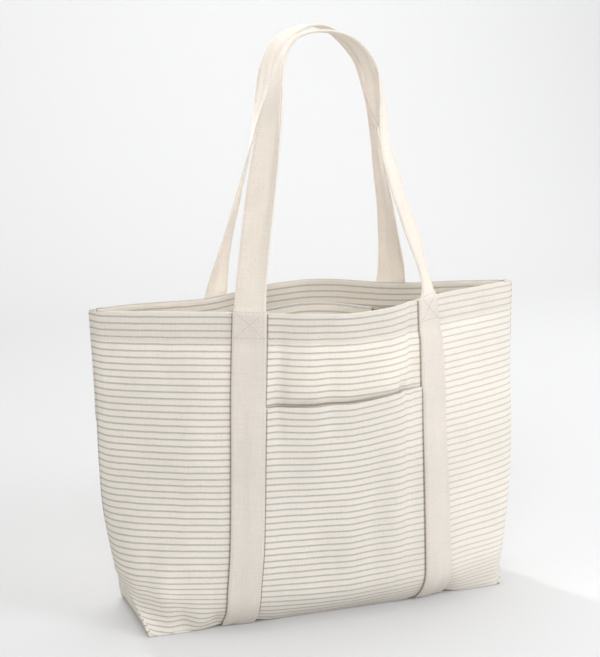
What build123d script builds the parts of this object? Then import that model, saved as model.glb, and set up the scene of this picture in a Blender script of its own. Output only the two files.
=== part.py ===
from build123d import *
import os
from math import cos, radians, sin

# A striped canvas tote bag that stands open on its boxed base. All sizes are in millimetres.
# X runs along the bag's width, Y from the front to the back, Z up from the floor.
# The side seams lie in the plane Y = 0. Plan sizes give distances out from the two middle planes.

# Cloth, straps and the gaps between layers that are sewn on each other
cloth_thickness = 1.5
hem_fold_thickness = 1.5
hem_depth = 30.0
strap_width = 35.0
strap_thickness = 2.4
lay_gap = 0.3

# Main sizes of the bag
rim_height = 342.0
rim_half_width = 246.0
base_half_length = 200.0
base_half_depth = 61.0

# Rim: the open top edge, with different bows at the front and at the back
rim_front_corner_in = 64.0
rim_front_corner_y = 33.2
rim_front_strap_x = 102.5
rim_front_strap_lean = 13.5
rim_front_strap_turn = 27.5
rim_front_bow = 33.5
rim_back_corner_in = 56.0
rim_back_corner_y = 26.0
rim_back_strap_x = 104.5
rim_back_strap_lean = -13.2
rim_back_strap_turn = 34.0
rim_back_bow = 60.2

# Waist: the level above the base where the ends of the bag still stand out as walls
waist_height = 140.0
waist_seam_flare = 42.5
waist_corner_flare = 13.0
waist_corner_lean = -20.0
waist_strap_x = 110.0
waist_strap_turn = 11.0
waist_front_strap_lean = 21.5
waist_front_bow = 11.0
waist_back_strap_lean = 12.0
waist_back_bow = 20.5

# Belly: the level where the front and the back stand out furthest above the base
belly_height = 50.0
belly_seam_flare = 28.0
belly_corner_flare = 6.0
belly_corner_lean = 1.0
belly_strap_x = 113.5
belly_strap_lean = 23.0
belly_strap_turn = 3.0
belly_bow = 3.0

# Turn: the rounded lower edge, where the cloth starts to go under
turn_height = 14.0
turn_seam_flare = 8.0
turn_corner_flare = 4.0
turn_corner_lean = -1.0
turn_strap_x = 115.0
turn_strap_lean = 14.5
turn_strap_turn = 1.5
turn_bow = 2.5

# Floor: the flat part that the bag stands on
floor_corner_flare = -3.0
floor_corner_lean = -7.0
floor_strap_x = 114.5
floor_strap_lean = -0.5
floor_strap_turn = 0.0
floor_bow = 0.5

# Pockets
pocket_mouth_height = 240.0
pocket_mouth_gape = 12.0
pocket_waist_gape = 7.3
pocket_belly_gape = 3.0
pocket_turn_gape = 0.5
inner_pocket_depth = 150.0
inner_pocket_inset = 4.0
inner_pocket_mouth_gape = 12.0
inner_pocket_foot_gape = 2.0

# Tape that binds the raw edges of the seams on the inside
binding_width = 10.0
binding_thickness = 3.0
base_binding_thickness = 1.5
corner_binding_clearance = 2.8
corner_binding_steps = 3

# Boxed cross stitching at the rim
stitch_box_height = 30.0
stitch_edge = 2.0
thread_width = 0.9
thread_height = 0.5

# Handles: each is a strap loop that rises from the rim, turns edgeways and bends over at the top
hinge_gap = 0.6
handle_spread = 56.0
handle_leg_rise = 205.0
handle_arch_rise = 78.0
handle_meeting_y = -8.0
handle_gap = 3.0
handle_ease = 1.4
leg_steps = 5
arch_steps = 8

FRONT = -1
BACK = 1


def level(height, seam_x, corner, strap, turn, bow):
    """One horizontal plan of a face of the bag, measured outwards."""
    return dict(height=height, seam_x=seam_x, corner=corner, strap=strap, turn=turn, middle_y=strap[1] + bow)


def low_level(height, seam_flare, corner_flare, corner_lean, strap_x, strap_lean, turn, bow):
    """Plan of a level below the rim, which follows the size of the base."""
    corner = (base_half_length + corner_flare, base_half_depth + corner_lean)
    strap = (strap_x, base_half_depth + strap_lean)
    return level(height, base_half_length + seam_flare, corner, strap, turn, bow)


floor_plan = low_level(0.0, 0.0, floor_corner_flare, floor_corner_lean,
                       floor_strap_x, floor_strap_lean, floor_strap_turn, floor_bow)
turn_plan = low_level(turn_height, turn_seam_flare, turn_corner_flare, turn_corner_lean,
                      turn_strap_x, turn_strap_lean, turn_strap_turn, turn_bow)
belly_plan = low_level(belly_height, belly_seam_flare, belly_corner_flare, belly_corner_lean,
                       belly_strap_x, belly_strap_lean, belly_strap_turn, belly_bow)
waist_plan = {
    face: low_level(waist_height, waist_seam_flare, waist_corner_flare, waist_corner_lean,
                    waist_strap_x, lean, waist_strap_turn, bow)
    for face, lean, bow in ((FRONT, waist_front_strap_lean, waist_front_bow),
                            (BACK, waist_back_strap_lean, waist_back_bow))
}
rim_plan = {
    FRONT: level(rim_height, rim_half_width, (rim_half_width - rim_front_corner_in, rim_front_corner_y),
                 (rim_front_strap_x, base_half_depth + rim_front_strap_lean),
                 rim_front_strap_turn, rim_front_bow),
    BACK: level(rim_height, rim_half_width, (rim_half_width - rim_back_corner_in, rim_back_corner_y),
                (rim_back_strap_x, base_half_depth + rim_back_strap_lean),
                rim_back_strap_turn, rim_back_bow),
}


def mix(a, b, share):
    """Value or pair of values a share of the way from a to b."""
    if isinstance(a, tuple):
        return tuple(mix(p, q, share) for p, q in zip(a, b))
    return a + (b - a) * share


def level_at(face, height):
    """Plan of one face at any height between the belly and the rim."""
    low, high = waist_plan[face], rim_plan[face]
    if height < waist_height:
        low, high = belly_plan, waist_plan[face]
    share = (height - low["height"]) / (high["height"] - low["height"])
    return {key: mix(low[key], high[key], share) for key in low}


def points(plan):
    """Seam, corner, strap edges and middle of one plan, on its right half."""
    angle = radians(plan["turn"])
    half = Vector(cos(angle), -sin(angle)) * (strap_width / 2)
    strap = Vector(*plan["strap"])
    return [
        Vector(plan["seam_x"], 0),
        Vector(*plan["corner"]),
        strap + half,
        strap - half,
        Vector(0, plan["middle_y"]),
    ]


def normal(start, end):
    """Outward direction of a run of cloth that goes from the seam towards the middle."""
    run = (end - start).normalized()
    return Vector(run.Y, -run.X)


def mitre(before, after, distance):
    """Shift of a corner between two runs of cloth that are both moved out."""
    return (before + after) * (distance / (1 + before.dot(after)))


def layer(plan, distance):
    """The same five points on a layer that lies a distance outside the cloth's face."""
    seam, corner, outer, inner, middle = points(plan)
    side = normal(seam, corner)
    panel = normal(corner, outer)
    strap = normal(outer, inner)
    return [
        seam + Vector(distance / side.X, 0),
        corner + mitre(side, panel, distance),
        outer + mitre(panel, strap, distance),
        inner + strap * distance,
        middle + Vector(0, distance),
    ]


def place(point, face, height, mirrored=False):
    """Plan point on the front or the back, and on the right or the left."""
    return Vector(-point.X if mirrored else point.X, face * point.Y, height)


def half_outline(shape, face, height):
    """Edges of one layer from the right seam round the middle to the left seam."""
    seam, corner, outer, inner, middle = shape
    right = [place(p, face, height) for p in (seam, corner, outer, inner)]
    left = [place(p, face, height, True) for p in (inner, outer, corner, seam)]
    edges = [Edge.make_line(a, b) for a, b in zip(right, right[1:])]
    edges.append(Edge.make_three_point_arc(right[-1], place(middle, face, height), left[0]))
    edges += [Edge.make_line(a, b) for a, b in zip(left, left[1:])]
    return edges


def skin_section(plan, face, height, outside, inside):
    """Closed outline of the cloth between two layers at one height."""
    out = half_outline(layer(plan, outside), face, height)
    back = half_outline(layer(plan, inside), face, height)
    right_end = Edge.make_line(out[0].position_at(0), back[0].position_at(0))
    left_end = Edge.make_line(out[-1].position_at(1), back[-1].position_at(1))
    return Wire(out + back + [right_end, left_end])


def rail(a, b, c, d):
    """Closed outline through four corners."""
    return Wire.make_polygon([a, b, c, d], close=True)


def block(low, high):
    """Square block between two opposite corners."""
    size = Vector(*high) - Vector(*low)
    return Pos(*((Vector(*low) + Vector(*high)) * 0.5)) * Box(*size)


base_height = strap_thickness + lay_gap
base_top = base_height + cloth_thickness
hem_height = rim_height - hem_depth


def make_panel(face):
    """Body panel: one face, its returns to the side seams, its half of the base and its turned hem."""
    plans = [
        (floor_plan, base_height),
        (turn_plan, turn_height),
        (belly_plan, belly_height),
        (waist_plan[face], waist_height),
        (rim_plan[face], rim_height),
    ]
    wall = Solid.make_loft([skin_section(p, face, z, 0, -cloth_thickness) for p, z in plans], ruled=True)
    outline = half_outline(points(floor_plan), face, base_height)
    outline.append(Edge.make_line(outline[-1].position_at(1), outline[0].position_at(0)))
    base = extrude(Face(Wire(outline)), cloth_thickness, dir=(0, 0, 1))
    fold = [(level_at(face, hem_height), hem_height), (rim_plan[face], rim_height)]
    fold_inside = -cloth_thickness - hem_fold_thickness
    hem = Solid.make_loft(
        [skin_section(p, face, z, -cloth_thickness / 2, fold_inside) for p, z in fold], ruled=True)
    return wall + base + hem


def strap_corners(plan, face, height, mirrored):
    """Corners of a sewn strap's section: outer and inner edge, on its two faces."""
    seam, corner, outer, inner, middle = points(plan)
    out = normal(outer, inner)
    near = lay_gap
    far = lay_gap + strap_thickness
    ring = [outer + out * near, outer + out * far, inner + out * far, inner + out * near]
    return [place(p, face, height, mirrored) for p in ring]


def make_strap(face, mirrored):
    """Sewn length of a strap: from the seam under the base, round the lower edge, up to the rim."""
    plans = [
        (floor_plan, 0.0),
        (turn_plan, turn_height),
        (belly_plan, belly_height),
        (waist_plan[face], waist_height),
        (rim_plan[face], rim_height),
    ]
    rings = [strap_corners(p, face, z, mirrored) for p, z in plans]
    upright = Solid.make_loft([rail(*ring) for ring in rings], ruled=True)
    front_edge = rings[0][1].Y
    left, right = sorted((rings[0][0].X, rings[0][2].X))
    low_y, high_y = sorted((0, front_edge))
    under = block((left, low_y, 0), (right, high_y, strap_thickness))
    return upright + under


def strap_face(face, mirrored, height, across):
    """Point on a sewn strap's outside, a share of the way from its outer to its inner edge."""
    ring = strap_corners(level_at(face, height), face, height, mirrored)
    return ring[1] + (ring[2] - ring[1]) * across


def make_box_stitch(face, mirrored):
    """Rows of thread that box and cross a strap at the rim, with four open windows between them."""
    edge = stitch_edge / strap_width
    top = rim_height - stitch_edge
    foot = top - stitch_box_height
    ring = strap_corners(level_at(face, (top + foot) / 2), face, 0, mirrored)
    out = (ring[1] - ring[0]).normalized()
    near = out * lay_gap
    far = out * (lay_gap + thread_height)

    def spot(across, up):
        return strap_face(face, mirrored, mix(foot, top, up), mix(edge, 1 - edge, across))

    sections = []
    for up in (0, 1):
        outer = spot(0, up)
        inner = spot(1, up)
        sections.append(rail(outer + near, outer + far, inner + far, inner + near))
    slab = Solid.make_loft(sections, ruled=True)

    box_width = strap_width - 2 * stitch_edge
    diagonal = Vector(box_width, stitch_box_height).length
    row_x = thread_width / box_width
    row_y = thread_width / stitch_box_height
    slant = thread_width * diagonal / (2 * box_width * stitch_box_height)
    windows = [
        [(row_y + slant, row_y), (1 - row_y - slant, row_y), (0.5, 0.5 - slant)],
        [(row_y + slant, 1 - row_y), (1 - row_y - slant, 1 - row_y), (0.5, 0.5 + slant)],
        [(row_x, row_x + slant), (row_x, 1 - row_x - slant), (0.5 - slant, 0.5)],
        [(1 - row_x, row_x + slant), (1 - row_x, 1 - row_x - slant), (0.5 + slant, 0.5)],
    ]
    for window in windows:
        outline = Wire.make_polygon([spot(*corner) for corner in window], close=True)
        slab = slab - extrude(Face(outline), strap_thickness, dir=out, both=True)
    return slab


def make_front_pocket():
    """Patch pocket between the front straps, with its mouth standing a little open."""
    plans = [
        (turn_plan, turn_height, pocket_turn_gape),
        (belly_plan, belly_height, pocket_belly_gape),
        (waist_plan[FRONT], waist_height, pocket_waist_gape),
        (level_at(FRONT, pocket_mouth_height), pocket_mouth_height, pocket_mouth_gape),
    ]
    sections = []
    for plan, height, gape in plans:
        seam, corner, outer, inner, middle = points(plan)
        out = normal(outer, inner)
        edge = inner + (inner - outer).normalized() * lay_gap
        arcs = []
        for distance in (lay_gap, lay_gap + cloth_thickness):
            end = edge + out * distance
            crown = middle + Vector(0, gape + distance)
            arcs.append(Edge.make_three_point_arc(
                place(end, FRONT, height), place(crown, FRONT, height), place(end, FRONT, height, True)))
        ends = [Edge.make_line(arcs[0].position_at(i), arcs[1].position_at(i)) for i in (0, 1)]
        sections.append(Wire(arcs + ends))
    return Solid.make_loft(sections, ruled=True)


def make_inner_pocket():
    """Slip pocket on the inside of the back panel, under its hem."""
    mouth = hem_height - lay_gap
    foot = mouth - inner_pocket_depth
    sections = []
    for height, gape in ((foot, inner_pocket_foot_gape), (mouth, inner_pocket_mouth_gape)):
        seam, corner, outer, inner, middle = layer(level_at(BACK, height), -cloth_thickness)
        chord = (middle - inner).normalized()
        inward = Vector(-chord.Y, chord.X)
        edge = inner + chord * inner_pocket_inset
        arcs = []
        for distance in (lay_gap, lay_gap + cloth_thickness):
            end = edge + inward * distance
            crown = middle - Vector(0, gape + distance)
            arcs.append(Edge.make_three_point_arc(
                place(end, BACK, height), place(crown, BACK, height), place(end, BACK, height, True)))
        ends = [Edge.make_line(arcs[0].position_at(i), arcs[1].position_at(i)) for i in (0, 1)]
        sections.append(Wire(arcs + ends))
    return Solid.make_loft(sections, ruled=True)


def binding_reach(plan):
    """How far out a side binding reaches before it meets the inside of the cloth."""
    seam, corner, outer, inner, middle = points(plan)
    side = normal(seam, corner)
    clear = cloth_thickness + lay_gap
    return seam.X - (clear + side.Y * binding_thickness / 2) / side.X


def make_side_binding(mirrored):
    """Tape over the raw edges of a side seam, standing inwards, from the belly up to the hem."""
    top = hem_height - lay_gap
    sections = []
    for height in (belly_height, waist_height, top):
        reach = min(binding_reach(level_at(face, height)) for face in (FRONT, BACK))
        half = binding_thickness / 2
        inner = reach - binding_width
        corners = [(reach, -half), (reach, half), (inner, half), (inner, -half)]
        sections.append(rail(*[place(Vector(*c), BACK, height, mirrored) for c in corners]))
    return Solid.make_loft(sections, ruled=True)


def end_wall_x(height, y):
    """Outside of the bag's end at a height between the floor and the belly, at a distance y."""
    if height < turn_height:
        low, high, low_height = floor_plan, turn_plan, base_height
    else:
        low, high, low_height = turn_plan, belly_plan, turn_height
    share = (height - low_height) / (high["height"] - low_height)
    seam_x = mix(low["seam_x"], high["seam_x"], share)
    corner_x, corner_y = mix(low["corner"], high["corner"], share)
    return mix(seam_x, corner_x, y / corner_y)


corner_binding_y = floor_plan["corner"][1] - corner_binding_clearance
corner_binding_foot = base_top + lay_gap
corner_binding_peak = belly_height - lay_gap - binding_thickness


def make_corner_binding(mirrored):
    """Tape over the seam across a boxed bottom corner, which climbs from the floor to the side seam."""
    sections = []
    for step in range(-corner_binding_steps, corner_binding_steps + 1):
        share = abs(step) / corner_binding_steps
        y = corner_binding_y * share
        foot = mix(corner_binding_peak, corner_binding_foot, share)
        outer = end_wall_x(foot, y) - corner_binding_clearance
        inner = outer - binding_width
        low = foot
        high = foot + binding_thickness
        ends = [(outer, low), (outer, high), (inner, high), (inner, low)]
        side = FRONT if step < 0 else BACK
        sections.append(rail(*[place(Vector(x, y), side, z, mirrored) for x, z in ends]))
    return Solid.make_loft(sections, ruled=True)


def make_base_binding():
    """Tape over the seam along the middle of the base, lying flat."""
    reach = layer(floor_plan, -cloth_thickness)[1].X - lay_gap
    foot = base_top + lay_gap
    half = binding_width / 2
    return block((-reach, -half, foot), (reach, half, foot + base_binding_thickness))


def make_handle(face):
    """Free loop of a strap: two legs that turn edgeways as they rise, and the bend that joins them."""
    plan = rim_plan[face]
    seam, corner, outer, inner, middle = points(plan)
    out = normal(outer, inner)
    foot = (outer + inner) * 0.5 + out * (lay_gap + strap_thickness / 2)
    foot_height = rim_height + hinge_gap
    top_y = handle_meeting_y + face * (handle_gap + strap_width) / 2
    total_rise = handle_leg_rise + handle_arch_rise
    half_width = strap_width / 2
    half_thick = strap_thickness / 2

    stations = []
    for step in range(leg_steps):
        share = step / leg_steps
        x = mix(foot.X, handle_spread, 1 - (1 - share) ** handle_ease)
        rise = handle_leg_rise * share
        angle = radians(mix(plan["turn"], 90.0, share))
        across = Vector(cos(angle), -face * sin(angle), 0)
        outward = Vector(sin(angle), face * cos(angle), 0)
        stations.append((x, rise, across, outward))
    for step in range(arch_steps // 2 + 1):
        angle = radians(180.0 * step / arch_steps)
        x = handle_spread * cos(angle)
        rise = handle_leg_rise + handle_arch_rise * sin(angle)
        outward = Vector(cos(angle) / handle_spread, 0, sin(angle) / handle_arch_rise).normalized()
        stations.append((x, rise, Vector(0, -face, 0), outward))

    def ring(station, mirrored):
        x, rise, across, outward = station
        y = mix(face * foot.Y, top_y, rise / total_rise)
        centre = Vector(x, y, foot_height + rise)
        corners = [
            centre + across * half_width + outward * half_thick,
            centre + across * half_width - outward * half_thick,
            centre - across * half_width - outward * half_thick,
            centre - across * half_width + outward * half_thick,
        ]
        if mirrored:
            corners = [Vector(-c.X, c.Y, c.Z) for c in corners]
        return rail(*corners)

    rings = [ring(s, False) for s in stations]
    rings += [ring(s, True) for s in reversed(stations[:-1])]
    return Solid.make_loft(rings, ruled=True)


parts = {
    "front_panel": make_panel(FRONT),
    "back_panel": make_panel(BACK),
    "front_pocket": make_front_pocket(),
    "inner_pocket": make_inner_pocket(),
    "left_side_binding": make_side_binding(True),
    "right_side_binding": make_side_binding(False),
    "left_corner_binding": make_corner_binding(True),
    "right_corner_binding": make_corner_binding(False),
    "base_binding": make_base_binding(),
    "front_handle": make_handle(FRONT),
    "back_handle": make_handle(BACK),
}
for face, face_name in ((FRONT, "front"), (BACK, "back")):
    for mirrored, side_name in ((True, "left"), (False, "right")):
        parts[f"{face_name}_{side_name}_strap"] = make_strap(face, mirrored)
        parts[f"{face_name}_{side_name}_box_stitch"] = make_box_stitch(face, mirrored)

os.makedirs("parts", exist_ok=True)
for name, shape in parts.items():
    export_step(shape, f"parts/{name}.step")
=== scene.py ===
from math import radians

import bpy
import numpy as np
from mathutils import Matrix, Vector


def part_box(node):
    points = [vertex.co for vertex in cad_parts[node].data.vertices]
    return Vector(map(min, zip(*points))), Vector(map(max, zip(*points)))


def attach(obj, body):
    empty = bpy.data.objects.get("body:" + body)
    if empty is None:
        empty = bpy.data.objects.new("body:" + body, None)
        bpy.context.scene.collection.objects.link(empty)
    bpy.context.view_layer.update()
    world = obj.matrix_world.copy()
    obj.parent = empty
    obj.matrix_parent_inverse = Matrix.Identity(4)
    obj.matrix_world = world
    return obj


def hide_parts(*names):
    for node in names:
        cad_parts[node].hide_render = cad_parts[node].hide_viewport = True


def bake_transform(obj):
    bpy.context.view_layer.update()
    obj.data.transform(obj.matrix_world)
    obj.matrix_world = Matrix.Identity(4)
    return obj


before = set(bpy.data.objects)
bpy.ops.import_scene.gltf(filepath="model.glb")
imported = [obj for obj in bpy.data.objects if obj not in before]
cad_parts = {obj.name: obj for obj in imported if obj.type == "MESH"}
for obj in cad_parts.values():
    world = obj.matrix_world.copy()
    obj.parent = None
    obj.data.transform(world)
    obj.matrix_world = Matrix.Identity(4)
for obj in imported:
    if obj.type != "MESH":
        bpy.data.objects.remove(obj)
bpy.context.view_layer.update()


# Front and back body panels. Two lengths of natural canvas with a thin grey yarn-dyed stripe, cut alike,
# sewn together down the sides, across the boxed corners and along the middle of the base.
# The top of each is turned to the inside as a 30 mm hem, and nothing stiffens the walls, so they bow and sag.
rim_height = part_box("front_panel")[1][2]
hem_depth = 0.030
canvas_thickness = 0.0011
hem_fold_radius = 0.0013
hem_step = 0.0018
seam_allowance = 0.0095
belly_height = 0.042
side_seam_foot = 0.060
stripe_pitch = 0.00704
stripe_width = 0.0017
boxed_end_fade = 2.5
first_stripe = 0.0042
seam_wrap = 0.005
strap_width = 0.035
pocket_mouth = 0.2432
pocket_rise = 0.0065
columns_across = 281
wall_samples = 721
base_samples = 400

# Plan of each quarter of the bag, out from its two middle planes, at these heights and then at the floor:
# the side seam, three points along the wall, and the middle and turn of the strap
plan_heights = (0.342, 0.250, 0.190, 0.140, 0.092, 0.042)
front_left = dict(
    seam_x=(0.2465, 0.2428, 0.2418, 0.2398, 0.2340, 0.2245),
    shoulder_x=(0.222, 0.232, 0.235, 0.2335, 0.2295, 0.215), floor_shoulder_x=0.200,
    shoulder_y=(0.0135, 0.0075, 0.0095, 0.0105, 0.017, 0.037), floor_shoulder_y=0.0585,
    flank_x=(0.190, 0.203, 0.206, 0.210, 0.2165, 0.198), floor_flank_x=0.181,
    flank_y=(0.0312, 0.029, 0.034, 0.031, 0.0345, 0.058), floor_flank_y=0.060,
    cheek_x=(0.160, 0.160, 0.160, 0.160, 0.160, 0.160), floor_cheek_x=0.155,
    cheek_y=(0.0477, 0.060, 0.0685, 0.066, 0.067, 0.072), floor_cheek_y=0.060,
    strap_x=(0.100, 0.1035, 0.105, 0.1055, 0.107, 0.110), floor_strap_x=0.1095,
    strap_y=(0.078, 0.081, 0.083, 0.0825, 0.0825, 0.0805), floor_strap_y=0.0585,
    turn=(30, 14, 10, 8, 6, 3))
front_right = dict(
    seam_x=(0.2465, 0.2468, 0.2462, 0.2450, 0.2370, 0.2250),
    shoulder_x=(0.222, 0.243, 0.2395, 0.237, 0.226, 0.208), floor_shoulder_x=0.200,
    shoulder_y=(0.011, 0.0085, 0.021, 0.028, 0.042, 0.063), floor_shoulder_y=0.0585,
    flank_x=(0.190, 0.207, 0.214, 0.206, 0.204, 0.188), floor_flank_x=0.181,
    flank_y=(0.0253, 0.031, 0.040, 0.049, 0.055, 0.069), floor_flank_y=0.060,
    cheek_x=(0.155, 0.155, 0.155, 0.155, 0.155, 0.155), floor_cheek_x=0.155,
    cheek_y=(0.041, 0.056, 0.067, 0.0705, 0.071, 0.0755), floor_cheek_y=0.060,
    strap_x=(0.1025, 0.1075, 0.109, 0.1115, 0.113, 0.1155), floor_strap_x=0.116,
    strap_y=(0.068, 0.0755, 0.081, 0.083, 0.0845, 0.085), floor_strap_y=0.0585,
    turn=(35, 21, 21, 17, 15.5, 10))
back_left = dict(
    front_left,
    shoulder_x=(0.225, 0.234, 0.235, 0.232, 0.227, 0.212),
    shoulder_y=(0.013, 0.009, 0.013, 0.017, 0.027, 0.045),
    flank_x=(0.195, 0.206, 0.211, 0.210, 0.210, 0.196),
    flank_y=(0.0245, 0.029, 0.036, 0.040, 0.046, 0.064),
    cheek_y=(0.031, 0.043, 0.054, 0.060, 0.066, 0.075),
    strap_x=(0.096, 0.102, 0.107, 0.110, 0.112, 0.113), floor_strap_x=0.113,
    strap_y=(0.048, 0.060, 0.067, 0.073, 0.0785, 0.083),
    turn=(34, 24, 17, 11, 6, 3))
back_right = dict(
    back_left,
    seam_x=front_right["seam_x"],
    strap_x=(0.1125, 0.1125, 0.112, 0.112, 0.113, 0.113))
front_bow = dict(y=(0.108, 0.0985, 0.0965, 0.094, 0.091, 0.087), x=(0, 0, 0, 0, 0, 0), floor_y=0.060)
back_bow = dict(y=(0.108, 0.102, 0.098, 0.095, 0.091, 0.087), x=(0.030, 0.012, 0, 0, 0, 0), floor_y=0.060)

# Slanted seam across a boxed corner, from the floor up to the foot of the side seam
corner_seam_z = (0.0, 0.015, 0.027, 0.040, 0.0467, 0.060)
corner_seam_x = (0.2063, 0.2128, 0.2162, 0.2198, 0.2224, 0.2295)
corner_seam_y = (0.058, 0.048, 0.036, 0.022, 0.014, 0.0)
base_end_tuck = 0.001
base_straight = 0.160


def through(knots, values, at):
    """Smooth curve through values at rising knots that never overshoots them."""
    x = np.asarray(knots, float)
    y = np.asarray(values, float)
    if x[0] > x[-1]:
        x, y = x[::-1], y[::-1]
    step = np.diff(x)
    slope = np.diff(y, axis=0) / step.reshape((-1,) + (1,) * (y.ndim - 1))
    lean = np.zeros_like(y)
    both = slope[:-1] * slope[1:]
    total = slope[:-1] + slope[1:]
    lean[1:-1] = np.where(both > 0, 2 * both / np.where(total == 0, 1, total), 0)
    lean[0], lean[-1] = slope[0], slope[-1]
    at = np.asarray(at, float)
    i = np.clip(np.searchsorted(x, at) - 1, 0, len(step) - 1)
    t = (at - x[i]) / step[i]
    h = step[i]
    if y.ndim > 1:
        t, h = t[:, None], h[:, None]
    return ((1 + 2 * t) * (1 - t) ** 2 * y[i] + t * (1 - t) ** 2 * h * lean[i]
            + t * t * (3 - 2 * t) * y[i + 1] + t * t * (t - 1) * h * lean[i + 1])


def smooth_step(low, high, value):
    t = np.clip((np.asarray(value, float) - low) / (high - low), 0, 1)
    return t * t * (3 - 2 * t)


def unit(v):
    return v / np.maximum(np.linalg.norm(v, axis=-1, keepdims=True), 1e-12)


def down_to_floor(quarter, name, z):
    """One plan size at any height. Below the belly the cloth slopes in and rolls under."""
    upper = through(plan_heights, quarter[name], np.maximum(z, belly_height))
    floor = quarter.get("floor_" + name, quarter[name][-1])
    left = np.clip(1 - z / belly_height, 0, 1)
    share = 1 - left if name.endswith("x") else 1 - left ** 1.8
    return np.where(z < belly_height, floor + (quarter[name][-1] - floor) * share, upper)


def quarter_points(quarter, z):
    """Line of one quarter in plan at the heights z, from its end to the inner edge of the strap."""
    def place(name):
        return np.stack([down_to_floor(quarter, name + "_x", z), down_to_floor(quarter, name + "_y", z)], -1)

    low = z < side_seam_foot
    end = np.stack([np.where(low, through(corner_seam_z, corner_seam_x, z),
                             through(plan_heights, quarter["seam_x"], np.maximum(z, belly_height))),
                    np.where(low, through(corner_seam_z, corner_seam_y, z), 0)], -1)
    turn = np.radians(down_to_floor(quarter, "turn", z))
    half = np.stack([np.cos(turn), -np.sin(turn)], -1) * strap_width / 2
    strap = place("strap")
    return np.stack([end, place("shoulder"), place("flank"), place("cheek"), strap + half, strap - half], 1)


def soften(row, spread):
    """Rounds the corners of a row of evenly spaced points and keeps its ends."""
    reach = int(4 * spread) + 1
    kernel = np.exp(-0.5 * (np.arange(-reach, reach + 1) / spread) ** 2)
    kernel /= kernel.sum()
    padded = np.concatenate([2 * row[0] - row[reach:0:-1], row, 2 * row[-1] - row[-2:-reach - 2:-1]])
    return np.stack([np.convolve(padded[:, k], kernel, "valid") for k in range(row.shape[1])], -1)


def evenly(points, count):
    """A count of points spaced evenly along a line of points, and the line's length at each given point."""
    run = np.concatenate([[0], np.cumsum(np.linalg.norm(np.diff(points, axis=0), axis=1))])
    at = np.linspace(0, run[-1], count)
    return np.stack([np.interp(at, run, points[:, k]) for k in range(points.shape[1])], -1), run


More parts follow.
